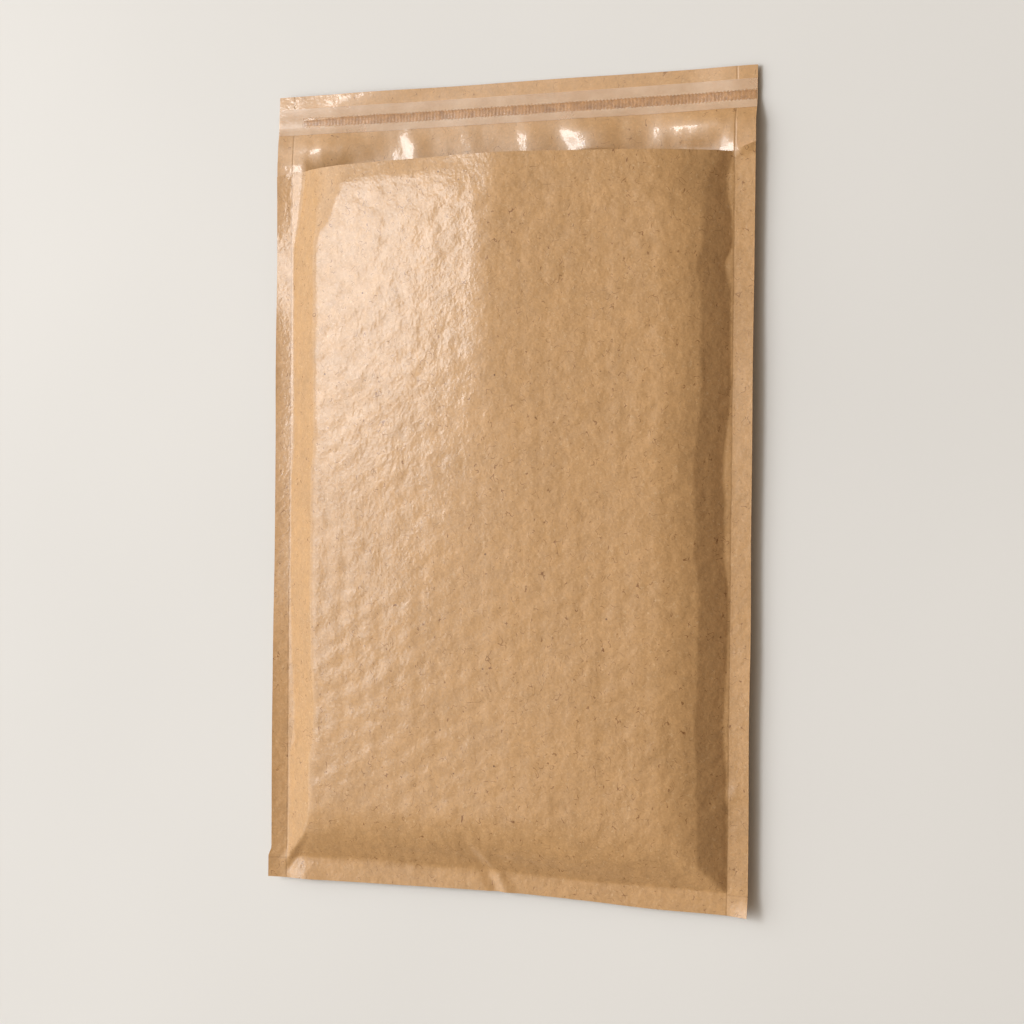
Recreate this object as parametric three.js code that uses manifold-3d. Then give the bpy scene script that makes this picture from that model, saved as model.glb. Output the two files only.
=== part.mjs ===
// A padded mailing envelope, open and unused, lying on its back.
//
// One web of kraft paper is folded along the bottom edge into a back panel and a front panel, and the back
// panel runs on past the mouth as the closing flap. The two side margins and the folded bottom margin are
// pressed flat and bonded. A second folded web, of bubble film, lines the pocket. The flap carries a band of
// hot-melt adhesive under a peel-off release liner that is as wide as the envelope.
//
// Millimetres, +Z up. The back panel rests on Z = 0, the front panel faces +Z, +X runs across the width and
// +Y towards the flap. The origin is under the middle of the outline, bottom edge to flap edge.

import * as THREE from "three";
import { mergeVertices, toCreasedNormals } from "three/addons/utils/BufferGeometryUtils.js";
import Module from "manifold-3d";

const wasm = await Module();
wasm.setup();

// ---- Driving dimensions --------------------------------------------------------------------------------

const width = 250;
const bodyLength = 360; // bottom fold to the front panel's mouth edge
const flapLength = 40;
const sideMargin = 10; // pressed seam down each side
const bottomMargin = 11; // pressed band above the bottom fold

const paper = 0.3; // kraft with its laminated film
const marginThickness = 0.8; // both papers and the pressed film between them
const padding = 4; // bubble film, flat side to bubble tops
const bondGap = 0.3; // between the paper and the padding that is bonded to it

const marginLift = 4.5; // underside of the margins above the resting plane
const frontRise = 11; // front panel above the margins
const shoulder = 24; // width of the slope between a margin and the flat of a panel
const mouthRise = 6; // extra height of the front panel in the middle of the mouth, which bows open
const mouthBlend = 160; // length over which that extra height dies out down the panel

const liningInset = 2.5; // the lining's edges start this far inside the margins
const liningSetback = 6; // and it stops this far short of the mouth
const liningPinch = 8.5; // its two walls part this far inside the margins
const pinchGap = 0.4; // where they do, they start this far apart

const liner = { width: 14, thickness: 0.15, toFlapEdge: 6.5 };
const adhesive = { width: 4.5, thickness: 0.2, toFlapEdge: 12, leftGap: 14, rightGap: 0.5 };
const stackGap = 0.1; // between the flap, the adhesive and the liner

const edge = { left: -width / 2, right: width / 2, bottom: -(bodyLength + flapLength) / 2 };
edge.mouth = edge.bottom + bodyLength;
edge.flap = edge.mouth + flapLength;
const flapFlat = liner.toFlapEdge + liner.width + 3; // outer part of the flap that lies on the resting plane

// ---- Form of the two panels ----------------------------------------------------------------------------

const clamp01 = (t) => Math.min(Math.max(t, 0), 1);
const easeInOut = (t) => THREE.MathUtils.smoothstep(t, 0, 1);

// Rise of a panel beside a margin, from 0 at the margin to 1 on the flat: steep at first, then rounded over.
const roundOver = (t) => 1.5 * clamp01(t) - 0.5 * clamp01(t) ** 3;

const fromSideMargin = (x) => edge.right - sideMargin - Math.abs(x);
const fromBottomMargin = (y) => y - (edge.bottom + bottomMargin);

// How full the pocket is at a point: 0 on the margins and 1 over its flat.
function fullness(x, y) {
  return roundOver(fromSideMargin(x) / shoulder) * roundOver(fromBottomMargin(y) / shoulder);
}

// Outside of the back panel and flap. The outer part of the flap sinks to the resting plane.
function backOutside(x, y) {
  const sunk = easeInOut((y - edge.mouth) / (flapLength - flapFlat));
  return marginLift * (1 - fullness(x, y)) * (1 - sunk);
}

// Outside of the front panel: the padded form, and a crown across the width that grows towards the mouth.
function frontOutside(x, y) {
  const crown = roundOver(fromSideMargin(x) / (edge.right - sideMargin));
  const nearMouth = easeInOut(1 - (edge.mouth - y) / mouthBlend);
  return marginLift + marginThickness + frontRise * fullness(x, y) + mouthRise * crown * nearMouth;
}

// A surface moved straight up by a distance.
const raised = (surface, distance) => (x, y) => surface(x, y) + distance;

// ---- Solids --------------------------------------------------------------------------------------------

// The closed solid between two surfaces, over the rectangle whose grid lines are xs and ys.
function between(under, top, xs, ys) {
  const box = new THREE.BoxGeometry(2, 2, 2, xs.length - 1, ys.length - 1, 1);
  const points = box.getAttribute("position");
  const line = (lines, t) => lines[Math.round(((t + 1) / 2) * (lines.length - 1))];
  for (let i = 0; i < points.count; i++) {
    const x = line(xs, points.getX(i));
    const y = line(ys, points.getY(i));
    points.setXYZ(i, x, y, points.getZ(i) > 0 ? top(x, y) : under(x, y));
  }
  return solidOf(box);
}

function solidOf(geometry) {
  geometry.deleteAttribute("normal");
  geometry.deleteAttribute("uv");
  const merged = mergeVertices(geometry, 1e-4);
  return new wasm.Manifold(
    new wasm.Mesh({
      numProp: 3,
      vertProperties: merged.getAttribute("position").array,
      triVerts: new Uint32Array(merged.getIndex().array),
    }),
  );
}

function geometryOf(solid) {
  const mesh = solid.getMesh();
  const geometry = new THREE.BufferGeometry();
  geometry.setAttribute("position", new THREE.BufferAttribute(new Float32Array(mesh.vertProperties), 3));
  geometry.setIndex(new THREE.BufferAttribute(new Uint32Array(mesh.triVerts), 1));
  return toCreasedNormals(geometry, Math.PI / 6);
}

// ---- Grid lines ----------------------------------------------------------------------------------------

const shoulderSteps = [4, liningPinch, 14, shoulder];
const acrossSteps = [...shoulderSteps, 44, 66, 90];
const mouthSteps = [mouthBlend, 128, 98, 72, 48, 28, 12];
const middleLines = [-80]; // along the flat of the pocket
const flapSteps = [8, flapLength - flapFlat, flapLength];
const overshoot = 1; // how far a cut runs past what it cuts

const fromFirst = (first, steps) => [first, ...steps.filter((step) => step > first)];

// Across the pocket, from this far inside one side margin to this far inside the other.
function linesAcross(inset) {
  const right = fromFirst(inset, acrossSteps).map((step) => edge.right - sideMargin - step);
  return [...right.map((x) => -x), 0, ...right.toReversed()];
}

// Along the pocket, from this far inside the bottom margin to this far short of the mouth.
function linesAlong(inset, setback) {
  const bottom = fromFirst(inset, shoulderSteps).map((step) => edge.bottom + bottomMargin + step);
  const top = mouthSteps.filter((step) => step > setback).map((step) => edge.mouth - step);
  return [...bottom, ...middleLines, ...top, edge.mouth - setback];
}

// ---- The four pieces -----------------------------------------------------------------------------------

const frontInside = raised(frontOutside, -paper);
const backInside = raised(backOutside, paper);

function kraftShell() {
  const pocketAcross = linesAcross(0);
  const pocketAlong = linesAlong(0, 0);
  const flapLines = flapSteps.map((step) => edge.mouth + step);
  const whole = between(
    backOutside,
    frontOutside,
    [edge.left, ...pocketAcross, edge.right],
    [edge.bottom, ...pocketAlong, ...flapLines],
  );
  const pocket = between(backInside, frontInside, pocketAcross, [...pocketAlong, edge.mouth + overshoot]);
  const aboveFlap = between(
    backInside,
    raised(frontOutside, overshoot),
    [edge.left - overshoot, ...pocketAcross, edge.right + overshoot],
    [edge.mouth, ...flapLines.slice(0, -1), edge.flap + overshoot],
  );
  return geometryOf(whole.subtract(pocket).subtract(aboveFlap));
}

function bubbleLining() {
  const under = raised(backInside, bondGap);
  const top = raised(frontInside, -bondGap);
  const wall = (x, y) => Math.min(padding, (top(x, y) - under(x, y) - pinchGap) / 2);
  const web = between(under, top, linesAcross(liningInset), linesAlong(liningInset, liningSetback));
  const inside = between(
    (x, y) => under(x, y) + wall(x, y),
    (x, y) => top(x, y) - wall(x, y),
    linesAcross(liningPinch),
    linesAlong(liningPinch, liningSetback - overshoot),
  );
  return geometryOf(web.subtract(inside));
}

// A flat strip across the flap: from x = left to x = right, its top edge a distance short of the flap's edge.
function strip({ width: stripWidth, thickness, toFlapEdge }, left, right, underside) {
  const middle = [(left + right) / 2, edge.flap - toFlapEdge - stripWidth / 2, underside + thickness / 2];
  return new THREE.BoxGeometry(right - left, stripWidth, thickness).translate(...middle);
}

const adhesiveUnder = paper + stackGap;
const linerUnder = adhesiveUnder + adhesive.thickness + stackGap;

const pieces = [
  {
    name: "kraft_shell",
    geometry: kraftShell(),
    finish: { color: 0xbf9468, roughness: 0.45, metalness: 0 },
  },
  {
    name: "bubble_lining",
    geometry: bubbleLining(),
    finish: { color: 0xdfe3e2, roughness: 0.2, metalness: 0 },
  },
  {
    name: "adhesive_strip",
    geometry: strip(adhesive, edge.left + adhesive.leftGap, edge.right - adhesive.rightGap, adhesiveUnder),
    finish: { color: 0xb0804f, roughness: 0.35, metalness: 0 },
  },
  {
    name: "release_liner",
    geometry: strip(liner, edge.left, edge.right, linerUnder),
    finish: { color: 0xd9b796, roughness: 0.3, metalness: 0 },
  },
];

const envelope = new THREE.Group();
for (const { name, geometry, finish } of pieces) {
  const mesh = new THREE.Mesh(geometry, new THREE.MeshStandardMaterial(finish));
  mesh.name = name;
  envelope.add(mesh);
}

export default envelope;
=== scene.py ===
import math

import bpy
import numpy as np
from mathutils import Euler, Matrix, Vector


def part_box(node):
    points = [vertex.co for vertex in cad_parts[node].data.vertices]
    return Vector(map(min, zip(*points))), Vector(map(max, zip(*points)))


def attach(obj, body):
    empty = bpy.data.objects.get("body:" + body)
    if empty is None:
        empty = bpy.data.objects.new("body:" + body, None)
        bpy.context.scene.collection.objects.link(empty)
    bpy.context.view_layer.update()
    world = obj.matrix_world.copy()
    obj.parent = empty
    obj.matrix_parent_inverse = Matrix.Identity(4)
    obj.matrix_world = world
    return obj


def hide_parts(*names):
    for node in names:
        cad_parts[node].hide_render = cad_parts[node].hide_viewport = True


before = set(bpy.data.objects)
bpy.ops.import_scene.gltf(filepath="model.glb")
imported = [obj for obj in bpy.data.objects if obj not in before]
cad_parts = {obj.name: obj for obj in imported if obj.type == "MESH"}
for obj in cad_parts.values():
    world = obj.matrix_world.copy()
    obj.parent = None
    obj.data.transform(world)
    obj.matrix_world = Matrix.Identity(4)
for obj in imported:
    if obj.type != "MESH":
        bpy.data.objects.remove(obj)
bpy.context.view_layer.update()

# The finish of an open, unused padded envelope that lies on its back: a folded kraft web with a film on its
# inner face, a folded bubble web inside it, and a hot-melt band under a release liner on the flap.
#
# Shapes are worked out in millimetres and written to the meshes in metres. X runs across the width, Y towards
# the flap and Z up out of the front panel, as in the frame.

MM = 0.001

# ---- Driving values, in millimetres ----

shell_low, shell_high = (np.array(corner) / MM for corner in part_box("kraft_shell"))
LEFT, RIGHT = shell_low[0], shell_high[0]
BOTTOM, FLAP_EDGE = shell_low[1], shell_high[1]
WIDTH = RIGHT - LEFT
MOUTH = FLAP_EDGE - 40
SEAM = 10  # width of the pressed side margins
SEAM_LEFT, SEAM_RIGHT = LEFT + SEAM, RIGHT - SEAM
FOLD = BOTTOM + 10.5  # top of the pressed band at the bottom

PAPER = 0.3
LIFT = 4.8  # middle of the pressed margins above the floor
RISE = 11.0  # front panel above the margins
FACET_SLOPE = 0.64  # of the steep band just inside the padding's edge
CURVE_LEFT, CURVE_RIGHT, CURVE_BOTTOM = 21, 34, 31  # from the padding's edge to the flat of the panel
DEPTH_LEFT, DEPTH_RIGHT, DEPTH_BOTTOM = 9.6, 7.9, 8.9  # how far the gentle curve would fall over that width
CROWN = 7.4  # extra height along the front panel's shallow ridge, at the mouth
CROWN_LOW = 3.6  # the same at the bottom
RIDGE_X = 3  # where the ridge meets the mouth
LIP = 10  # paper that stands past the padding at the mouth

BUBBLE_PITCH = 12.08
BUBBLE_COLUMN = BUBBLE_PITCH * math.sqrt(3) / 2
BUBBLE_RADIUS = 5.0


# ---- Small fields ----


def smooth(t):
    """0 below 0, 1 above 1, and 3t^2 - 2t^3 between."""
    t = np.clip(t, 0, 1)
    return t * t * (3 - 2 * t)


def bump(t):
    """A hill that is 1 at t = 0 and falls to 0 at t = -1 and 1."""
    return smooth(1 - np.abs(t))


def soft_min(a, b, radius):
    """The smaller of a and b, with the corner where they cross rounded over a given radius."""
    h = np.clip(0.5 + 0.5 * (b - a) / radius, 0, 1)
    return b * (1 - h) + a * h - radius * h * (1 - h)


def noise(x, y, cell, seed):
    """Smooth noise from -1 to 1: random values on a square lattice, each faded into the next."""
    table = np.random.default_rng(seed).uniform(-1, 1, (128, 128))
    gx, gy = x / cell + 40.5, y / cell + 40.5
    ix, iy = np.floor(gx).astype(int), np.floor(gy).astype(int)
    fx, fy = smooth(gx - ix), smooth(gy - iy)

    def at(i, j):
        return table[(ix + i) % 128, (iy + j) % 128]

    low = at(0, 0) * (1 - fx) + at(1, 0) * fx
    high = at(0, 1) * (1 - fx) + at(1, 1) * fx
    return low * (1 - fy) + high * fy


def layered_noise(x, y, cell, seed, layers=3):
    """Noise added to noise of half the size and half the height, a few times over."""
    total = 0
    for layer in range(layers):
        total = total + noise(x, y, cell / 2**layer, seed + layer) / 2**layer
    return total


def ridges(x, y, cell, seed):
    """Creased noise from 0 to 1, with sharp crests where smooth noise crosses zero."""
    return 1 - np.abs(noise(x, y, cell, seed)) * 2


def bubbles(x, y, radius, seed, spread=0.5):
    """Round domes on a hexagonal lattice with its columns along Y. Each is 1 high, less a random share."""
    strength = np.random.default_rng(seed).uniform(1 - spread, 1, (64, 128))
    total = np.zeros(np.broadcast(x, y).shape)
    for half in (0, 1):
        column = 2 * np.round((x / BUBBLE_COLUMN - half) / 2) + half
        row = np.round(y / BUBBLE_PITCH - half / 2)
        away = np.hypot(x - column * BUBBLE_COLUMN, y - (row + half / 2) * BUBBLE_PITCH)
        height = strength[column.astype(int) % 64, row.astype(int) % 128]
        total = total + height * np.sqrt(np.clip(1 - (away / radius) ** 2, 0, 1))
    return total


def pleat(x, y, start, end, width, height):
    """
    A small S-shaped fold along a line: a ridge on its left and a valley on its right, or the other way round
    where its height is below 0. It grows from its start and dies out just past its end.
    """
    (x0, y0), (x1, y1) = start, end
    length = math.hypot(x1 - x0, y1 - y0)
    along = ((x - x0) * (x1 - x0) + (y - y0) * (y1 - y0)) / length**2
    across = ((x - x0) * (y0 - y1) + (y - y0) * (x1 - x0)) / length / width
    return height * smooth(along) * smooth((1.15 - along) / 0.15) * across * np.exp(0.5 - across**2)


# ---- Lines of the envelope ----

# Where the padding's edge stands off each side seam: distance along Y, then distance in from the seam.
RIGHT_FOOT = [
    (-189, 0.5), (-158, 0.5), (-143, 0.8), (-130, 1.3), (-117, 2.8), (-107, 2.6), (-85, 1.6), (-61, 0.6),
    (-45, 1.2), (-32, 3.2), (-9, 2.9), (10, 4.2), (19, 3.4), (36, 1.6), (52, 0.8), (80, 1.2),
    (94, 1.4), (103, 3.6), (108, 3.8), (114, 1.2), (122, 0.5), (131, 1.6), (140, 3.2), (148, 3.6),
    (156, 1.2), (161, 0.5),
]
LEFT_FOOT = [
    (-189, 0.6), (-136, 0.7), (-128, 3.0), (-112, 3.6), (-90, 2.0), (-60, 0.9), (5, 0.6), (20, 1.8),
    (45, 1.9), (80, 1.2), (122, 1.0), (133, 3.8), (146, 6.0), (155, 7.0), (161, 7.2),
]
# The same for the bottom fold: distance along X, then distance up from the fold.
BOTTOM_FOOT = [
    (-115, 0.6), (-95, 1.4), (-60, 2.6), (-30, 1.6), (-12, 2.6), (18, 1.6), (45, 0.6), (80, 0.8), (115, 0.5),
]
# Where the front panel's ridge runs: distance along Y, then X.
RIDGE = [(-200, 7), (-10, 5), (60, -3), (135, -5), (161, 3)]


def along_table(t, table):
    """A value read from a table of places and values, in straight steps."""
    return np.interp(t, *np.array(table).T)


def left_foot(y):
    return SEAM_LEFT + along_table(y, LEFT_FOOT) + 0.25 * noise(0 * y, y, 9, 21)


def right_foot(y):
    return SEAM_RIGHT - along_table(y, RIGHT_FOOT) + 0.25 * noise(0 * y, y, 7, 22)


def bottom_foot(x):
    return FOLD + along_table(x, BOTTOM_FOOT) + 0.2 * noise(x, 0 * x, 8, 23)


def mouth_line(x):
    """The front panel's cut edge: a little lower on the right, and bowed out where it stands highest."""
    across = (x - LEFT) / WIDTH
    slants = 0.42 * np.maximum(x - SEAM_RIGHT, 0) - 0.25 * np.maximum(SEAM_LEFT - x, 0)
    bow = 1.6 * bump((x - RIDGE_X) / 118)
    return MOUTH + 0.8 - 1.7 * across + bow + slants + 0.25 * noise(x, 0 * x, 26, 24)


def bottom_line(x):
    """The folded bottom edge, slightly uneven and drawn up in its middle."""
    return BOTTOM + 0.3 + 1.9 * bump(x / 100) + 0.3 * noise(x, 0 * x, 30, 25)


def flap_line(x):
    """The flap's cut edge."""
    return FLAP_EDGE - 0.3 + 0.25 * noise(x, 0 * x, 45, 26)


def left_edge(y):
    """The left cut edge, which kinks outwards below the fold line of the bottom corner."""
    return LEFT + 1.5 * smooth((y - FOLD) / 5) + 0.3 * noise(0 * y, y, 40, 27)


def right_edge(y):
    return RIGHT - 0.3 + 0.3 * noise(0 * y, y, 45, 28)


# ---- Heights of the two panels ----


def from_side(x, y):
    """Distance in from the nearer side of the padding."""
    return np.minimum(x - left_foot(y), right_foot(y) - x)


def shoulder(inwards, width, depth, bend):
    """
    Rise of a panel by the distance in from the padding's edge: a steep straight facet, then a gentle curve
    that would fall by its depth over its width, with a bend of a given radius between them.
    """
    curve = RISE - depth * np.clip(1 - inwards / width, 0, 1) ** 2
    return soft_min(FACET_SLOPE * inwards, curve, bend)


def swell(x, y):
    """How full the pocket is: 0 at the padding's edge and 1 over its flat, with mitred bottom corners."""
    inwards, upwards = from_side(x, y), y - bottom_foot(x)
    side = smooth((x + 60) / 120)
    opening = smooth((y - MOUTH + 42) / 42)
    width = CURVE_LEFT + (CURVE_RIGHT - CURVE_LEFT) * side + (12 - 4 * side) * opening
    depth = DEPTH_LEFT + (DEPTH_RIGHT - DEPTH_LEFT) * side + (1.0 + 0.8 * side) * opening
    from_sides = shoulder(inwards, width, depth, 0.25)
    from_bottom = shoulder(upwards, CURVE_BOTTOM, DEPTH_BOTTOM, 0.8)
    height = np.clip(soft_min(from_sides, from_bottom, 0.35), 0, RISE)
    return height / RISE * smooth(np.minimum(inwards, upwards) / 0.3)


def crown(x, y):
    """A shallow ridge down the front panel: a tent across its width at the mouth, an arch further down."""
    near_mouth = smooth((y + 90) / (MOUTH + 70))
    blunt = 4 + 62 * (1 - smooth((y + 110) / (MOUTH + 20)))
    ridge = along_table(y, RIDGE)
    reach = np.where(x < ridge, ridge - SEAM_LEFT, SEAM_RIGHT - ridge)
    away = np.hypot(x - ridge, blunt) - blunt
    fall = np.hypot(reach, blunt) - blunt
    return (CROWN_LOW + (CROWN - CROWN_LOW) * near_mouth) * np.clip(1 - away / fall, 0, 1)


def bottom_pleats(x, y):
    """The slanting fold in the middle of the bottom, small ones at two corners and a faint one between."""
    return (
        pleat(x, y, (-19, -158), (4, -201), 3.4, 1.5)
        + pleat(x, y, (93, -165), (116, -140), 4.0, -0.55)
        + pleat(x, y, (-96, -170), (-114, -192), 2.6, -0.8)
        + pleat(x, y, (-48, -172), (-47, -191), 3.5, 0.25)
    )


def margin_plane(x, y):
    """
    Middle of the pressed margins: level, with long gentle waves that grow towards the free edges. The left
    edge curls up, except over a short length near the mouth. The right edge and the bottom corners tilt up.
    """
    past_left, past_right = (np.clip(away / SEAM, 0, 1) for away in (SEAM_LEFT - x, x - SEAM_RIGHT))
    past_fold = np.clip((FOLD - y) / (FOLD - BOTTOM), 0, 1)
    free = np.maximum(np.maximum(past_left, past_right), past_fold)
    waves = 0.35 * layered_noise(x, y, 75, 31, 2) * (0.3 + free)
    left_curl = (1.1 - 0.7 * smooth((y + 90) / 60)) * past_left + 0.3 * past_left**3
    left_curl = left_curl - bump((y - 112) / 34) * (0.55 * past_left + 0.3 * past_left**3)
    corners = 1.2 * bump((x + 105) / 14) * past_fold + 2.0 * past_right * past_fold
    return LIFT + waves + left_curl + 0.6 * past_right + corners + bottom_pleats(x, y)


def unbonded(x, y):
    """Paper between a seam and the padding's edge lifts a little off the margin plane."""
    from_left = 0.06 * np.clip(x - SEAM_LEFT, 0, 6)
    from_right = 0.16 * np.clip(SEAM_RIGHT - x, 0, 5)
    return np.minimum(np.minimum(from_left, from_right), 0.16 * np.clip(y - FOLD, 0, 5))


def bubbled_area(x, y):
    """Where bubbles press on the paper: over the padding, clear of its edges and of the bare lip."""
    return smooth((swell(x, y) - 0.35) / 0.5) * smooth((mouth_line(x) - LIP - y) / 6)


def tautness(x, y):
    """1 in the upper left and middle of the front, where the paper is drawn tightest and dents least."""
    return smooth(1.5 - np.hypot((x + 40) / 75, (y - 35) / 105))


def front_relief(x, y):
    """Bubble tops, fine diagonal crinkles and broad unevenness of the front panel."""
    area = bubbled_area(x, y)
    taut = tautness(x, y)
    wander_x, wander_y = x + 1.8 * noise(x, y, 11, 41), y + 1.8 * noise(x, y, 11, 42)
    tops = bubbles(wander_x, wander_y, BUBBLE_RADIUS, 43, 0.8)
    slant_u, slant_v = 0.8 * x - 0.6 * y, 0.6 * x + 0.8 * y
    crinkles = ridges(slant_u + 2 * noise(x, y, 20, 44), slant_v / 1.6, 5.2, 45)
    unevenness = layered_noise(x, y, 34, 46, 4)
    calm = smooth((y - 30) / 90) * taut
    return (
        area * (0.26 - 0.13 * taut - 0.06 * calm) * tops
        + area * 0.04 * crinkles
        + (0.30 - 0.15 * taut) * unevenness * smooth(swell(x, y) * 2)
    )


def lip_drop(x, y):
    """Past the padding's end the bare paper of the mouth bends down a little, except beside the ridge."""
    start = mouth_line(x) - 8.5 + 1.2 * noise(x, 0 * x, 9, 51)
    return 0.075 * np.maximum(y - start, 0) * smooth((RIDGE_X - 6 - x) / 45 + np.maximum(x - RIDGE_X, 0) / 60)


def mouth_pinches(x, y):
    """The front paper stands up in a small pinched fold where each side seam meets the mouth."""
    below = mouth_line(x) - y
    left = 0.3 * bump((x - SEAM_LEFT) / 3) * smooth(1 - below / 4)
    return left + 1.6 * bump((x - 119) / 8) * smooth(1 - below / 6)


def front_height(x, y, relief=True):
    """Outside of the front panel."""
    body = swell(x, y)
    height = margin_plane(x, y) + PAPER + unbonded(x, y) + RISE * body
    height = height + crown(x, y) * smooth(from_side(x, y) / 5) * smooth((y - FOLD) / 34)
    height = height - lip_drop(x, y) * smooth(from_side(x, y) / 20) + mouth_pinches(x, y)
    if relief:
        height = height + front_relief(x, y)
    return height


def back_height(x, y, relief=True):
    """Outside of the back panel and flap. The pocket's part rests on the floor on its bubble tops."""
    inside_y = np.minimum(y, MOUTH)
    body = swell(x, inside_y)
    height = (margin_plane(x, inside_y) - PAPER) * (1 - body)
    if relief:
        dents = 0.22 * (1 - bubbles(x + BUBBLE_COLUMN / 2, y, BUBBLE_RADIUS, 61, 0.5))
        height = height + dents * smooth((body - 0.3) / 0.6) * smooth((MOUTH - LIP - y) / 6)
    return height


# Puckers of the flap beside the mouth: where each one starts to rise, over what length, and how high.
FLAP_PUCKERS = [(-52, 6, 0.6), (-22, 4, 0.3), (8, 6, 0.6), (29, 14, 1.9), (60, 8, 0.4)]


def flap_ripple(x, y):
    """Puckers and small dents of the flap between the mouth and the liner, dying out towards its edge."""
    near_mouth = smooth((FLAP_EDGE - 15 - y) / 13)
    lean = x + 0.25 * (y - MOUTH) + 2.5 * noise(x, y, 12, 70)
    waves = 0
    for start, length, height in FLAP_PUCKERS:
        t = (lean - start) / length
        waves = waves + height * smooth(t) * (1 - smooth((t - 1) / 2.2))
    dents = 0.22 * layered_noise(x, y * 0.7, 15, 71, 4) + 0.16 * ridges(x, y * 0.5, 11, 75)
    edge_curl = 1.0 * bump((x + 62) / 44) * smooth((y - FLAP_EDGE + 9) / 8)
    return near_mouth * (waves + dents) + edge_curl + 0.1 * layered_noise(x, y, 30, 76, 3)


def flap_outside(x, y):
    """
    Underside of the flap: it leaves the back panel at the mouth and comes to lie near the floor, with its two
    ends a little raised. Its lowest parts are rounded off just above the floor.
    """
    sunk = smooth((y - MOUTH) / 13)
    by_mouth = 3.9 * smooth((-x - 55) / 46) + 4.6 * smooth((x - 66) / 42)
    by_edge = 2.2 * smooth((-x - 30) / 80) + 1.4 * smooth((x - 88) / 30)
    sides = by_mouth + (by_edge - by_mouth) * smooth((y - MOUTH - 12) / 13)
    resting = 0.25 + sides + 0.2 * (1 + noise(x, y, 60, 72))
    past_mouth = smooth((y - MOUTH) / 5)
    height = back_height(x, MOUTH + 0 * y, False) * (1 - sunk) + resting * sunk
    return -soft_min(-height - flap_ripple(x, y) * past_mouth, -0.02, 1.2)


# ---- Meshes ----


def stations(*spans):
    """
    Numbers from each span's start to the next one's, in equal steps. Each span is its start and its number of
    steps, and the last one only ends the row.
    """
    parts = [np.linspace(a, b, n, endpoint=False) for (a, n), (b, _) in zip(spans, spans[1:])]
    return np.concatenate(parts + [[spans[-1][0]]])


def points(x, y, z):
    """One array of points, rows by columns by three."""
    return np.stack(np.broadcast_arrays(x, y, z), axis=-1)


def weld(name, patches, materials):
    """
    One smooth-shaded mesh from rectangular patches of points, each with its facing and material number.
    A patch whose columns run along X and rows along Y faces up when its facing is 1 and down when it is -1.
    Points that coincide along the patches' borders are joined.
    """
    all_points, all_quads, all_slots = [], [], []
    first = 0
    for grid, facing, slot in patches:
        rows, columns = grid.shape[:2]
        index = first + np.arange(rows * columns).reshape(rows, columns)
        around = [index[:-1, :-1], index[:-1, 1:], index[1:, 1:], index[1:, :-1]]
        quads = np.stack(around[::facing], axis=-1).reshape(-1, 4)
        all_points.append(grid.reshape(-1, 3))
        all_quads.append(quads)
        all_slots.append(np.full(len(quads), slot))
        first += rows * columns
    merged = np.concatenate(all_points)
    _, keep, where = np.unique(np.round(merged, 4), axis=0, return_index=True, return_inverse=True)
    quads = where.reshape(-1)[np.concatenate(all_quads)]
    return mesh_object(name, merged[keep] * MM, quads, np.concatenate(all_slots), materials)


def mesh_object(name, vertices, quads, slots, materials):
    """A smooth-shaded object of four-sided faces, with sharp edges where they meet at over 50 degrees."""
    mesh = bpy.data.meshes.new(name)
    mesh.vertices.add(len(vertices))
    mesh.vertices.foreach_set("co", vertices.astype(np.float32).ravel())
    mesh.loops.add(quads.size)
    mesh.loops.foreach_set("vertex_index", quads.astype(np.int32).ravel())
    mesh.polygons.add(len(quads))
    mesh.polygons.foreach_set("loop_start", np.arange(0, quads.size, 4, dtype=np.int32))
    mesh.polygons.foreach_set("material_index", slots.astype(np.int32))
    mesh.update(calc_edges=True)
    mesh.validate()
    mesh.shade_smooth()
    mesh.set_sharp_from_angle(angle=math.radians(50))
    for material in materials:
        mesh.materials.append(material)
    piece = bpy.data.objects.new(name, mesh)
    bpy.context.scene.collection.objects.link(piece)
    return piece


def pouch_patches(top, under, ceiling, floor, columns, outside=0, inside=0, flap=None):
    """
    The skin of a pouch that is open at its last row. top and under are its two outer faces, ceiling and
    floor the faces of its cavity, which meet along their side columns and first rows. columns are the first
    and last outer columns that the cavity spans. flap, if there is one, is the upper and the lower face of a
    sheet that runs on from floor and under.
    """
    a, b = columns
    middle = (top[-1] + under[-1]) / 2
    step = middle if flap is None else flap[0][0]
    patches = [
        (top, 1, outside),
        (under, -1, outside),
        (ceiling, -1, inside),
        (floor, 1, inside),
        (np.stack([under[:, 0], top[:, 0]]), -1, outside),
        (np.stack([under[:, -1], top[:, -1]]), 1, outside),
        (np.stack([under[0], top[0]]), 1, outside),
        (np.stack([ceiling[-1], top[-1, a : b + 1]]), -1, inside),
        (np.stack([step[: a + 1], top[-1, : a + 1]]), -1, inside),
        (np.stack([step[b:], top[-1, b:]]), -1, inside),
    ]
    if flap is None:
        patches += [
            (np.stack([under[-1, a : b + 1], floor[-1]]), -1, inside),
            (np.stack([under[-1, : a + 1], middle[: a + 1]]), -1, inside),
            (np.stack([under[-1, b:], middle[b:]]), -1, inside),
        ]
        return patches
    upper, lower = flap
    return patches + [
        (upper, 1, inside),
        (lower, -1, outside),
        (np.stack([lower[:, 0], upper[:, 0]]), -1, outside),
        (np.stack([lower[:, -1], upper[:, -1]]), 1, outside),
        (np.stack([lower[-1], upper[-1]]), -1, outside),
    ]


# ---- Grids that follow the envelope's lines ----


def between_lines(lines, t):
    """A place along a list of lines: on the first where t = 0, on the second where t = 1, and so on."""
    stack = np.stack(np.broadcast_arrays(*lines))
    lower = np.minimum(t.astype(int), len(stack) - 2)
    start = np.take_along_axis(stack, lower[None], 0)[0]
    end = np.take_along_axis(stack, lower[None] + 1, 0)[0]
    return start + (end - start) * (t - lower)


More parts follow.
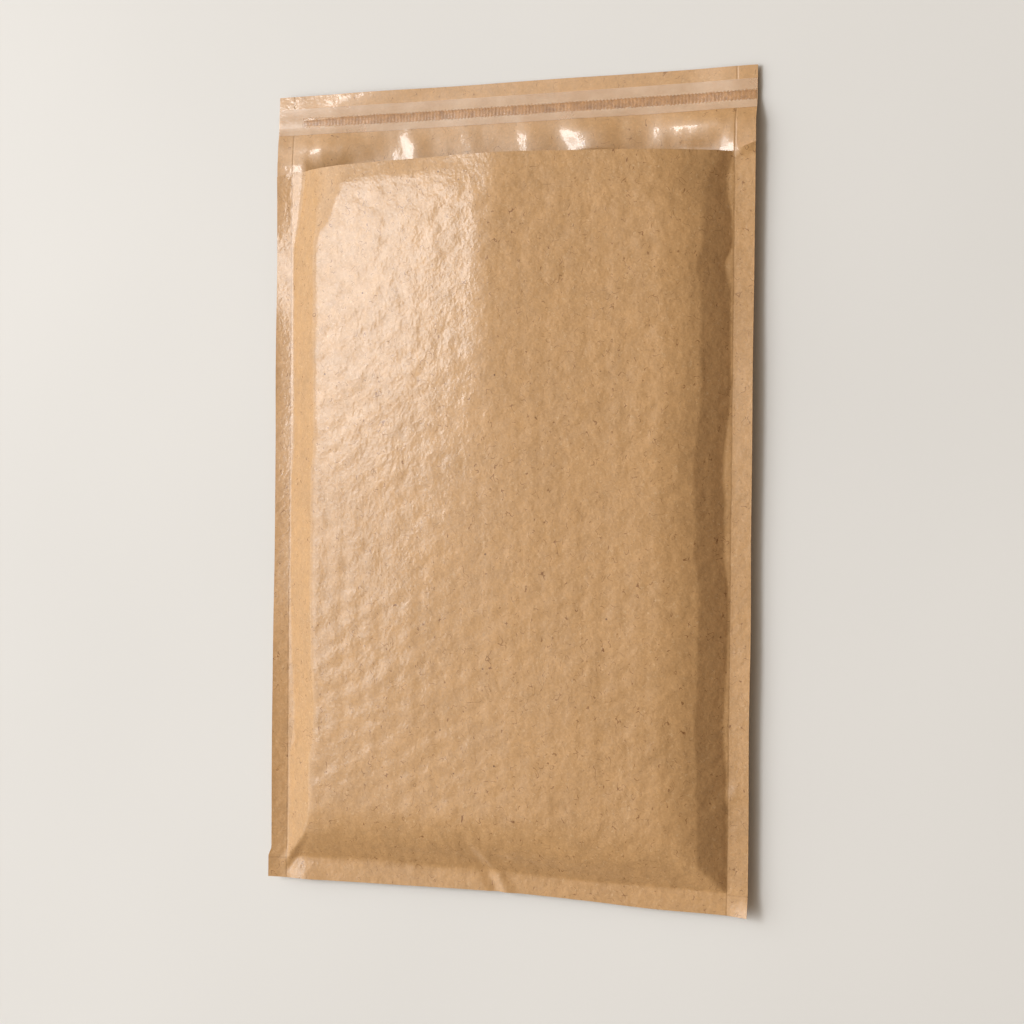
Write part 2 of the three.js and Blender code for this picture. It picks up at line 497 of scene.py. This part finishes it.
def grid_along(side_lines, end_lines, across, along):
    """
    X and Y of a grid. Its columns keep their places between side lines, which are functions of y, and its
    rows keep theirs between end lines, which are functions of x. A few passes settle one against the other.
    """
    u, v = np.meshgrid(across, along)
    x, y = 0 * u, 0 * v
    for _ in range(5):
        x = between_lines([line(y) for line in side_lines], u)
        y = between_lines([line(x) for line in end_lines], v)
    return x, y


def level(value):
    """A straight line at one value, for use among side or end lines."""
    return lambda t: value + 0 * t


# ---- Kraft shell ----

# The columns' places between the side lines, closer together along the padding's two sides.
SHELL_ACROSS = stations((0, 6), (1, 3), (2, 26), (2.09, 94), (2.91, 26), (3, 3), (4, 6), (5, 0))
FIRST_IN, LAST_IN = 6, len(SHELL_ACROSS) - 7
CAVITY_ACROSS = SHELL_ACROSS[FIRST_IN : LAST_IN + 1]
SHELL_SIDES = [left_edge, level(SEAM_LEFT), left_foot, right_foot, level(SEAM_RIGHT), right_edge]


def cavity_gap(x, y):
    """Extra room under the outer skin, away from the mouth, which keeps its relief off the inner one."""
    return 0.6 * smooth(swell(x, y) * 3) * smooth((mouth_line(x) - y) / 14)


def kraft_shell(outside, inside):
    """
    The folded kraft web. Its front and back are height fields over one grid, its cavity is bounded by the
    same fields less the paper's thickness, and its flap is the back's field carried on past the mouth.
    """
    body_ends = [bottom_line, level(FOLD), bottom_foot, mouth_line]
    x, y = grid_along(SHELL_SIDES, body_ends, SHELL_ACROSS, stations((0, 6), (1, 2), (2, 216), (3, 0)))
    top = points(x, y, front_height(x, y))
    under = points(x, y, back_height(x, y))

    cavity_rows = stations((1, 1), (2, 18), (2.9, 13), (3, 0))
    x, y = grid_along(SHELL_SIDES, body_ends, CAVITY_ACROSS, cavity_rows)
    ceiling = points(x, y, front_height(x, y) - PAPER - cavity_gap(x, y))
    floor = points(x, y, back_height(x, y) + PAPER + cavity_gap(x, y))
    for edge in (np.s_[0, :], np.s_[:, 0], np.s_[:, -1]):
        ceiling[edge] = floor[edge] = (ceiling[edge] + floor[edge]) / 2

    x, y = grid_along(SHELL_SIDES, [mouth_line, flap_line], SHELL_ACROSS, stations((0, 26), (1, 0)))
    lower = points(x, y, flap_outside(x, y))
    lower[0] = under[-1]
    upper = lower + [0, 0, PAPER]
    upper[0, FIRST_IN : LAST_IN + 1] = floor[-1]

    cavity = (FIRST_IN, LAST_IN)
    patches = pouch_patches(top, under, ceiling, floor, cavity, outside=0, inside=1, flap=(upper, lower))
    return weld("kraft_mailer", patches, [outside, inside])


# ---- Bubble lining ----

FILM = 0.35
WALL = 3.75  # flat film to bubble tops
PINCHED = 0.88  # share of its half of the room that each wall fills where there is too little
LINING_INSET = 2.0  # its edges stand this far inside the padding's edge
LINING_ACROSS = stations((0, 2), (1, 148), (2, 2), (3, 0))
PINCH_ACROSS = LINING_ACROSS[2:-2]
LINING_SIDES = [
    lambda y: left_foot(y) + LINING_INSET,
    lambda y: left_foot(y) + LINING_INSET + 1.5,
    lambda y: right_foot(y) - LINING_INSET - 1.5,
    lambda y: right_foot(y) - LINING_INSET,
]
LINING_ENDS = [
    lambda x: bottom_foot(x) + LINING_INSET,
    lambda x: bottom_foot(x) + LINING_INSET + 1.5,
    lambda x: mouth_line(x) - LIP + 1,
]


def lining_room(x, y):
    """The space between the two papers that the lining has: its lower and its upper bound."""
    gap = PAPER + cavity_gap(x, y) + 0.15
    return back_height(x, y, False) + gap, front_height(x, y, False) - gap - 0.2


def lining_faces(x, y):
    """
    Heights of the lining's four faces: over its upper bubbles, under its lower ones, and its upper and its
    lower flat film. Each wall is as thick as the bubbles, or nearly half of the room where that is less.
    """
    low, high = lining_room(x, y)
    wall = np.minimum(WALL, (high - low) / 2 * PINCHED)
    film = np.minimum(FILM, wall)
    domes = film + (wall - film) * np.sqrt(bubbles(x, y, BUBBLE_RADIUS, 43, 0.1))
    return high - wall + domes, low + wall - domes, high - wall, low + wall


def bubble_lining(film):
    """
    The folded bubble web. Each wall is a flat film with round domes on a hexagonal lattice that face the
    paper, between the papers' fields. The two walls are pinched together along the sides and the bottom.
    """
    x, y = grid_along(LINING_SIDES, LINING_ENDS, LINING_ACROSS, stations((0, 2), (1, 226), (2, 0)))
    over, beneath, _, _ = lining_faces(x, y)
    top, under = points(x, y, over), points(x, y, beneath)

    x, y = grid_along(LINING_SIDES, LINING_ENDS, PINCH_ACROSS, stations((1, 40), (2, 0)))
    _, _, upper_film, lower_film = lining_faces(x, y)
    for edge in (np.s_[0, :], np.s_[:, 0], np.s_[:, -1]):
        upper_film[edge] = lower_film[edge] = (upper_film[edge] + lower_film[edge]) / 2
    ceiling, floor = points(x, y, upper_film), points(x, y, lower_film)
    cavity = (2, len(LINING_ACROSS) - 3)
    return weld("bubble_padding", pouch_patches(top, under, ceiling, floor, cavity), [film])


# ---- Adhesive and liner on the flap ----

LINER_TOP, LINER_LOW = FLAP_EDGE - 6.7, FLAP_EDGE - 20.2
GLUE_TOP, GLUE_LOW = FLAP_EDGE - 11.9, FLAP_EDGE - 16.5
GLUE_LEFT, GLUE_RIGHT = LEFT + 15, RIGHT - 0.8
GLUE_BAR = 1.75  # from one bar of the glue to the next


def flap_inside(x, y):
    """The face of the flap that carries the glue."""
    return flap_outside(x, y) + PAPER


def closed_strip(name, low, high, materials):
    """A closed sheet between two grids of points that share their X and Y."""
    patches = [
        (high, 1, 0),
        (low, -1, 0),
        (np.stack([low[:, 0], high[:, 0]]), -1, 0),
        (np.stack([low[:, -1], high[:, -1]]), 1, 0),
        (np.stack([low[0], high[0]]), 1, 0),
        (np.stack([low[-1], high[-1]]), -1, 0),
    ]
    return weld(name, patches, materials)


def glue_band(glue):
    """
    A band of hot melt, laid as close bars across its length: its height is a row of rounded ridges along X,
    and its two long edges step in and out with the bars.
    """
    u, v = np.meshgrid(np.linspace(0, 1, 1400), np.linspace(0, 1, 7))
    x = GLUE_LEFT + (GLUE_RIGHT - GLUE_LEFT) * u
    bars = 0.5 + 0.5 * np.sin(2 * np.pi * x / GLUE_BAR + 1.2 * noise(x, 0 * x, 6, 81))
    half = (GLUE_TOP - GLUE_LOW) / 2
    half = half * (0.55 + 0.45 * smooth(u * 9)) * (0.86 + 0.14 * bars) + 0.25 * noise(x, 0 * x, 3.5, 82)
    y = (GLUE_TOP + GLUE_LOW) / 2 + (2 * v - 1) * half
    z = flap_inside(x, y) + 0.03
    thick = 0.06 + (0.13 + 0.03 * bars) * np.sqrt(np.clip(1 - (2 * v - 1) ** 4, 0, 1))
    return closed_strip("glue_line", points(x, y, z), points(x, y, z + thick), [glue])


def liner_strip(film):
    """The release liner: it lies over the glue on the flap in small waves, from edge to edge."""
    across, along = stations((0, 210), (1, 0)), stations((0, 10), (1, 0))
    ends = [
        lambda x: LINER_LOW + 0.25 * noise(x, 0 * x, 50, 83),
        lambda x: LINER_TOP + 0.2 * noise(x, 0 * x, 60, 84),
    ]
    x, y = grid_along([left_edge, right_edge], ends, across, along)
    over_glue = bump((y - (GLUE_TOP + GLUE_LOW) / 2) / 4.5)
    waves = 0.10 + 0.10 * layered_noise(x, y * 0.6, 26, 85, 2)
    z = flap_inside(x, y) + 0.05 + 0.28 * over_glue + np.maximum(waves, 0)
    return closed_strip("liner_strip", points(x, y, z), points(x, y, z + 0.12), [film])


# ---- Shader nodes ----


def node(tree, kind, sockets=None, **settings):
    """Adds a node, applies its settings, and gives each named or numbered input a value or a link."""
    made = tree.nodes.new("ShaderNode" + kind)
    for name, value in settings.items():
        setattr(made, name, value)
    for socket, value in (sockets or {}).items():
        if isinstance(value, bpy.types.NodeSocket):
            tree.links.new(value, made.inputs[socket])
        else:
            made.inputs[socket].default_value = value
    return made


def maths(tree, operation, a, b=0.0, c=0.0):
    """The result of one sum on up to three numbers or sockets."""
    return node(tree, "Math", {0: a, 1: b, 2: c}, operation=operation).outputs[0]


def blend_colours(tree, factor, a, b, kind="MIX"):
    """The first colour where the factor is 0, and the second laid over it where the factor is 1."""
    mixed = node(tree, "Mix", {0: factor, 6: a, 7: b}, data_type="RGBA", blend_type=kind)
    return mixed.outputs[2]


def noise_value(tree, place, scale, detail=2.0, rough=0.5):
    """Cloudy noise about 0.5. Its scale is the number of clouds in a metre."""
    sockets = {"Vector": place, "Scale": scale, "Detail": detail, "Roughness": rough}
    return node(tree, "TexNoise", sockets).outputs["Fac"]


def remap(tree, value, low, high, to_low=0.0, to_high=1.0):
    """Carries a value from one range to another, held at the second range's ends."""
    sockets = {"Value": value, "From Min": low, "From Max": high, "To Min": to_low, "To Max": to_high}
    return node(tree, "MapRange", sockets).outputs[0]


def new_group(name, inputs, outputs):
    """An empty node group with named inputs, each with its kind and first value, and named outputs."""
    tree = bpy.data.node_groups.new(name, "ShaderNodeTree")
    for label, kind, value in inputs:
        socket = tree.interface.new_socket(label, in_out="INPUT", socket_type="NodeSocket" + kind)
        socket.default_value = value
    for label, kind in outputs:
        tree.interface.new_socket(label, in_out="OUTPUT", socket_type="NodeSocket" + kind)
    return tree, tree.nodes.new("NodeGroupInput").outputs, tree.nodes.new("NodeGroupOutput").inputs


def group_node(tree, group, sockets):
    """Places a node group with these values or links on its inputs, and returns its outputs."""
    made = node(tree, "Group", node_tree=group)
    for socket, value in sockets.items():
        if isinstance(value, bpy.types.NodeSocket):
            tree.links.new(value, made.inputs[socket])
        else:
            made.inputs[socket].default_value = value
    return made.outputs


def new_material(name, **shader):
    """A material whose shader has these plain values on its sockets. Returns it, its tree and its shader."""
    material = bpy.data.materials.new(name)
    material.use_nodes = True
    principled = material.node_tree.nodes["Principled BSDF"]
    for socket, value in shader.items():
        principled.inputs[socket.replace("_", " ")].default_value = value
    return material, material.node_tree, principled


def object_place(tree):
    """The place on the piece, in metres in the frame."""
    return tree.nodes.new("ShaderNodeTexCoord").outputs["Object"]


def turned_place(tree, place, angle, scale):
    """The place scaled and turned about Z by an angle in radians, for patterns that run askew."""
    return node(tree, "Mapping", {"Vector": place, "Rotation": (0, 0, angle), "Scale": scale}).outputs[0]


# ---- Paper stock ----


def threads(tree, place, scale, width, patchiness):
    """Thin curved lines where smooth noise crosses its middle, kept only where a second noise is high."""
    line = maths(tree, "ABSOLUTE", maths(tree, "SUBTRACT", noise_value(tree, place, scale, 1.0), 0.5))
    line = remap(tree, line, width, 0.0)
    keep = remap(tree, noise_value(tree, place, scale * 1.5, 1.0), patchiness, patchiness + 0.03)
    return maths(tree, "MULTIPLY", line, keep)


def kraft_stock():
    """
    Recycled kraft: a mottled brown with cloudy tone, dark and pale fibres, and a few dark specks. Puts out
    its colour and a fine height.
    """
    plain_brown = (0.5, 0.29, 0.12, 1)
    inputs = [("Place", "Vector", (0, 0, 0)), ("Paper", "Color", plain_brown), ("Fibres", "Float", 1.0)]
    tree, given, result = new_group("kraft_stock", inputs, [("Color", "Color"), ("Height", "Float")])
    place, paper = given["Place"], given["Paper"]
    cloud = noise_value(tree, place, 45, 3, 0.55)
    mottle = noise_value(tree, place, 210, 4, 0.65)
    grain = noise_value(tree, place, 900, 2, 0.6)
    tone = remap(tree, cloud, 0.3, 0.7, -0.05, 0.05)
    tone = maths(tree, "ADD", tone, remap(tree, mottle, 0.25, 0.75, -0.09, 0.09))
    tone = maths(tree, "ADD", tone, remap(tree, grain, 0.2, 0.8, -0.11, 0.11))
    shade = maths(tree, "ADD", tone, 1.0)
    grey = node(tree, "CombineColor", {0: shade, 1: shade, 2: shade}).outputs[0]
    colour = blend_colours(tree, 1.0, paper, grey, "MULTIPLY")

    stretched = turned_place(tree, place, 0.6, (1, 0.7, 1))
    dark = threads(tree, stretched, 260, 0.015, 0.60)
    second = threads(tree, place, 150, 0.009, 0.58)
    pale = threads(tree, place, 330, 0.018, 0.53)
    dark = maths(tree, "MAXIMUM", dark, second)
    colour = blend_colours(tree, maths(tree, "MULTIPLY", pale, 0.30), colour, (0.78, 0.58, 0.36, 1))
    strength = maths(tree, "MULTIPLY", maths(tree, "MULTIPLY", dark, given["Fibres"]), 0.88)
    colour = blend_colours(tree, strength, colour, (0.19, 0.075, 0.018, 1))

    cells = node(tree, "TexVoronoi", {"Vector": place, "Scale": 85.0, "Randomness": 1.0})
    rare = remap(tree, noise_value(tree, place, 70, 1), 0.50, 0.53)
    speck = maths(tree, "MULTIPLY", remap(tree, cells.outputs["Distance"], 0.052, 0.030), rare)
    colour = blend_colours(tree, maths(tree, "MULTIPLY", speck, 0.8), colour, (0.09, 0.036, 0.012, 1))

    height = maths(tree, "ADD", maths(tree, "MULTIPLY", grain, 0.5), maths(tree, "MULTIPLY", mottle, 0.8))
    height = maths(tree, "ADD", height, maths(tree, "MULTIPLY", dark, 0.4))
    tree.links.new(colour, result["Color"])
    tree.links.new(height, result["Height"])
    return tree


def seam_groove_and_shade():
    """
    A narrow groove pressed into every layer along each side seam, and across the bottom corner squares: 1 in
    its middle and 0 a little way off. The papers dent their bump with it and also darken their colour by it,
    which is painted shade in the groove.
    """
    tree, given, result = new_group("seam_groove_and_shade", [("Place", "Vector", (0, 0, 0))], [("GrooveAndShade", "Float")])
    axes = node(tree, "SeparateXYZ", {0: given["Place"]}).outputs
    wander = maths(tree, "MULTIPLY", noise_value(tree, given["Place"], 60, 2), 0.0009)
    groove, half_width = (SEAM_RIGHT + 0.45) * MM, 0.7 * MM
    outwards = maths(tree, "ADD", maths(tree, "ABSOLUTE", axes["X"]), wander)
    past_groove = maths(tree, "SUBTRACT", outwards, groove)
    along_seams = remap(tree, maths(tree, "ABSOLUTE", past_groove), half_width, 0.0)
    past_fold = maths(tree, "SUBTRACT", maths(tree, "ADD", axes["Y"], wander), FOLD * MM)
    along_fold = remap(tree, maths(tree, "ABSOLUTE", past_fold), half_width, 0.0)
    across_corners = maths(tree, "MULTIPLY", along_fold, remap(tree, past_groove, -0.5 * MM, 0.0))
    tree.links.new(maths(tree, "MAXIMUM", along_seams, across_corners), result["GrooveAndShade"])
    return tree


def add_relief(tree, shader, distance, own, shared=None):
    """
    Bends the shader's normal by a height of the material's own, in its gloss as well as in its body, and by a
    second height that comes from shared effects, in its body alone.
    """
    amount = {"Strength": 1.0, "Distance": distance}
    normal = node(tree, "Bump", {**amount, "Height": own}).outputs[0]
    tree.links.new(normal, shader.inputs["Coat Normal"])
    if shared is not None:
        normal = node(tree, "Bump", {**amount, "Height": shared, "Normal": normal}).outputs[0]
    tree.links.new(normal, shader.inputs["Normal"])


def paper_outside(stock, groove_and_shade_tree):
    """Machine-glazed kraft: a calendered face with a soft gloss, crumpled finely by the padding under it."""
    material, tree, shader = new_material(
        "glazed_kraft", Specular_IOR_Level=0.3, Coat_Roughness=0.17, Coat_IOR=1.38
    )
    place = object_place(tree)
    paper = group_node(tree, stock, {"Place": place, "Paper": (0.50, 0.288, 0.122, 1), "Fibres": 1.0})
    groove_and_shade = group_node(tree, groove_and_shade_tree, {"Place": place})["GrooveAndShade"]
    patchy = noise_value(tree, place, 130, 4, 0.7)
    # Painted shade: the colour darkens to a deep brown in the seam grooves, for the shade that falls in them.
    colour = blend_colours(tree, maths(tree, "MULTIPLY", groove_and_shade, 0.3), paper["Color"], (0.30, 0.16, 0.06, 1))
    tree.links.new(colour, shader.inputs["Base Color"])
    tree.links.new(remap(tree, patchy, 0.3, 0.7, 0.50, 0.60), shader.inputs["Roughness"])
    tree.links.new(remap(tree, patchy, 0.35, 0.65, 1.0, 0.8), shader.inputs["Coat Weight"])

    slanted = turned_place(tree, place, -0.9, (1.2, 1, 1))
    folds = maths(tree, "ABSOLUTE", maths(tree, "SUBTRACT", noise_value(tree, slanted, 210, 2, 0.5), 0.5))
    stipple = noise_value(tree, place, 700, 1, 0.5)
    crumple = maths(tree, "MULTIPLY_ADD", folds, -1.7, maths(tree, "MULTIPLY", stipple, 0.26))
    dimples = noise_value(tree, place, 170, 3, 0.5)
    pressed = maths(tree, "MULTIPLY_ADD", paper["Height"], 0.35, maths(tree, "MULTIPLY", dimples, 6.0))
    pressed = maths(tree, "MULTIPLY_ADD", groove_and_shade, -1.0, pressed)
    add_relief(tree, shader, 0.00012, crumple, pressed)
    return material


def paper_inside(stock, groove_and_shade_tree):
    """The same kraft under a thin clear film, which is smooth and glossy."""
    material, tree, shader = new_material(
        "filmed_kraft", Roughness=0.36, Coat_Weight=1.0, Coat_Roughness=0.09, Coat_IOR=1.4
    )
    place = object_place(tree)
    paper = group_node(tree, stock, {"Place": place, "Paper": (0.53, 0.307, 0.136, 1), "Fibres": 0.8})
    groove_and_shade = group_node(tree, groove_and_shade_tree, {"Place": place})["GrooveAndShade"]
    # Painted shade: the colour darkens to a deep brown in the seam grooves, for the shade that falls in them.
    colour = blend_colours(tree, maths(tree, "MULTIPLY", groove_and_shade, 0.35), paper["Color"], (0.28, 0.15, 0.06, 1))
    tree.links.new(colour, shader.inputs["Base Color"])
    ripple = noise_value(tree, place, 130, 2, 0.5)
    stipple = noise_value(tree, place, 750, 1, 0.5)
    ripple = maths(tree, "MULTIPLY_ADD", stipple, 0.22, ripple)
    add_relief(tree, shader, 0.00015, ripple, maths(tree, "MULTIPLY", groove_and_shade, -0.8))
    return material


# ---- Films and glue ----


def bubble_film():
    """Clear film, faintly milky, which lets the paper behind it show through."""
    material, tree, shader = new_material(
        "bubble_film", Base_Color=(0.80, 0.82, 0.82, 1), Roughness=0.16, Coat_Weight=0.6, Coat_Roughness=0.06
    )
    haze = noise_value(tree, object_place(tree), 60, 3, 0.5)
    tree.links.new(remap(tree, haze, 0.3, 0.7, 0.42, 0.58), shader.inputs["Alpha"])
    add_relief(tree, shader, 0.00008, haze)
    return material


def hot_melt():
    """Amber hot melt, glossy and slightly uneven in tone."""
    material, tree, shader = new_material("hot_melt", Roughness=0.4, Coat_Weight=0.3, Coat_Roughness=0.2)
    tone = noise_value(tree, object_place(tree), 380, 3, 0.6)
    colour = blend_colours(tree, remap(tree, tone, 0.3, 0.7), (0.27, 0.120, 0.032, 1), (0.52, 0.26, 0.088, 1))
    tree.links.new(colour, shader.inputs["Base Color"])
    add_relief(tree, shader, 0.0001, tone)
    return material


def liner_film():
    """
    Siliconed release film: a thin satin film that pales what is under it. Where the glue wets it, along a
    band with notched edges, it turns clear.
    """
    material, tree, shader = new_material("release_film", Roughness=0.3, Coat_Weight=0.6, Coat_Roughness=0.15)
    place = object_place(tree)
    haze = noise_value(tree, place, 55, 4, 0.6)
    colour = blend_colours(tree, remap(tree, haze, 0.3, 0.7), (0.78, 0.56, 0.37, 1), (0.90, 0.69, 0.50, 1))
    tree.links.new(colour, shader.inputs["Base Color"])

    axes = node(tree, "SeparateXYZ", {0: place}).outputs
    notches = maths(tree, "SINE", maths(tree, "MULTIPLY", axes["X"], 2 * math.pi / (GLUE_BAR * MM)))
    ragged = maths(tree, "SUBTRACT", noise_value(tree, place, 420, 2, 0.6), 0.5)
    half = (GLUE_TOP - GLUE_LOW) / 2 * MM
    reach = maths(tree, "MULTIPLY_ADD", notches, 0.00022, maths(tree, "MULTIPLY_ADD", ragged, 0.0016, half))
    away = maths(tree, "ABSOLUTE", maths(tree, "SUBTRACT", axes["Y"], (GLUE_TOP + GLUE_LOW) / 2 * MM))
    wet = remap(tree, maths(tree, "SUBTRACT", reach, away), -0.0001, 0.0002)
    wet = maths(tree, "MULTIPLY", wet, remap(tree, axes["X"], GLUE_LEFT * MM - 0.001, GLUE_LEFT * MM + 0.003))
    milky = remap(tree, haze, 0.3, 0.7, 0.34, 0.46)
    alpha = maths(tree, "MULTIPLY", milky, maths(tree, "MULTIPLY_ADD", wet, -0.85, 1.0))
    tree.links.new(alpha, shader.inputs["Alpha"])
    add_relief(tree, shader, 0.0002, haze)
    return material


# ---- Studio ----

VIEW_TARGET = (5.57, -11.13, LIFT)  # the point that the camera looks at
VIEW_DISTANCE = 889.47  # and how far off it stands
VIEW_TURN = (-0.467, 19.724, 0.571)  # degrees about X, Y and Z, from a view straight down
FLOOR_HALF = 6.0  # metres from its middle to its edges
FLOOR_LEVEL = -0.05
BACKDROP = 0.62  # brightness of what shows beyond the floor


def look_at(place, target):
    """A turn that points an object's -Z from one place to another."""
    return (Vector(target) - Vector(place)).to_track_quat("-Z", "Y")


def camera():
    """The view from a little to the right of straight above, as a long lens sees it."""
    lens = bpy.data.cameras.new("view")
    lens.lens, lens.sensor_width = 63.88, 36
    lens.clip_start, lens.clip_end = 0.01, 20
    made = bpy.data.objects.new("view", lens)
    bpy.context.scene.collection.objects.link(made)
    made.rotation_euler = Euler([math.radians(angle) for angle in VIEW_TURN])
    backwards = made.rotation_euler.to_matrix() @ Vector((0, 0, VIEW_DISTANCE))
    made.location = (Vector(VIEW_TARGET) + backwards) * MM
    bpy.context.scene.camera = made


def softbox(name, place, target, size, power, colour=(1, 1, 1)):
    """A rectangular light at a place in metres, aimed at another. Its first size is its level one."""
    light = bpy.data.lights.new(name, "AREA")
    light.shape = "RECTANGLE"
    light.size, light.size_y = size
    light.energy = power
    light.color = colour
    made = bpy.data.objects.new(name, light)
    made.location = place
    made.rotation_mode = "QUATERNION"
    made.rotation_quaternion = look_at(place, target)
    bpy.context.scene.collection.objects.link(made)


def studio():
    """A pale floor under a soft sky, and on the left a strip for the gloss with a fainter one below it."""
    material, tree, shader = new_material("floor_paint", Roughness=0.85, Specular_IOR_Level=0.2)
    shade = noise_value(tree, object_place(tree), 3, 2)
    colour = blend_colours(tree, remap(tree, shade, 0.3, 0.7), (0.70, 0.70, 0.69, 1), (0.74, 0.74, 0.73, 1))
    tree.links.new(colour, shader.inputs["Base Color"])
    signs = np.array([(-1, -1), (1, -1), (1, 1), (-1, 1)])
    corners = np.column_stack([signs * FLOOR_HALF, np.full(4, FLOOR_LEVEL * MM)])
    floor = mesh_object("floor", corners, np.array([[0, 1, 2, 3]]), np.zeros(1), [material])

    sky((-0.84, 0.06, 0.50), 0.27, 3.75)
    softbox("gloss_strip", (-1.070, 0.33, 1.50), (0, 0, 0), (0.50, 0.47), 9.5)
    softbox("gloss_tail", (-1.12, -0.12, 1.47), (0, 0, 0), (0.40, 0.46), 3.2)
    bpy.context.scene.view_settings.view_transform = "Standard"


def sky(towards, low, high):
    """
    A soft dome of light: even all round, and brighter by a broad lobe on one side that fades at the horizon.
    Beyond the floor it is seen as a plain pale backdrop.
    """
    world = bpy.data.worlds.new("sky")
    world.use_nodes = True
    tree = world.node_tree
    direction = tree.nodes.new("ShaderNodeTexCoord").outputs["Generated"]
    vectors = {0: direction, 1: Vector(towards).normalized()}
    facing = node(tree, "VectorMath", vectors, operation="DOT_PRODUCT").outputs["Value"]
    lobe = maths(tree, "POWER", maths(tree, "MAXIMUM", facing, 0.0), 5.0)
    above = node(tree, "SeparateXYZ", {0: direction}).outputs["Z"]
    lobe = maths(tree, "MULTIPLY", lobe, remap(tree, above, 0.0, 0.35, 0.12, 1.0))
    strength = remap(tree, lobe, 0.0, 1.0, low, high)
    colour = blend_colours(tree, remap(tree, lobe, 0.0, 0.3), (1.0, 0.77, 0.56, 1), (1.0, 1.0, 0.98, 1))
    seen = tree.nodes.new("ShaderNodeLightPath").outputs["Is Camera Ray"]
    strength = node(tree, "Mix", {0: seen, 2: strength, 3: BACKDROP}, data_type="FLOAT").outputs[0]
    colour = blend_colours(tree, seen, colour, (1.0, 0.98, 0.96, 1))
    background = tree.nodes["Background"]
    tree.links.new(strength, background.inputs["Strength"])
    tree.links.new(colour, background.inputs["Color"])
    bpy.context.scene.world = world


# ---- The scene ----

camera()
studio()

stock, groove_and_shade_tree = kraft_stock(), seam_groove_and_shade()
shell = kraft_shell(paper_outside(stock, groove_and_shade_tree), paper_inside(stock, groove_and_shade_tree))
padding = bubble_lining(bubble_film())
glue = glue_band(hot_melt())
liner = liner_strip(liner_film())

for piece, cad_node, slot in (
    (shell, "kraft_shell", "kraft_paper"),
    (padding, "bubble_lining", "bubble_film"),
    (glue, "adhesive_strip", "hot_melt"),
    (liner, "release_liner", "liner_film"),
):
    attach(piece, "root")
    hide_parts(cad_node)
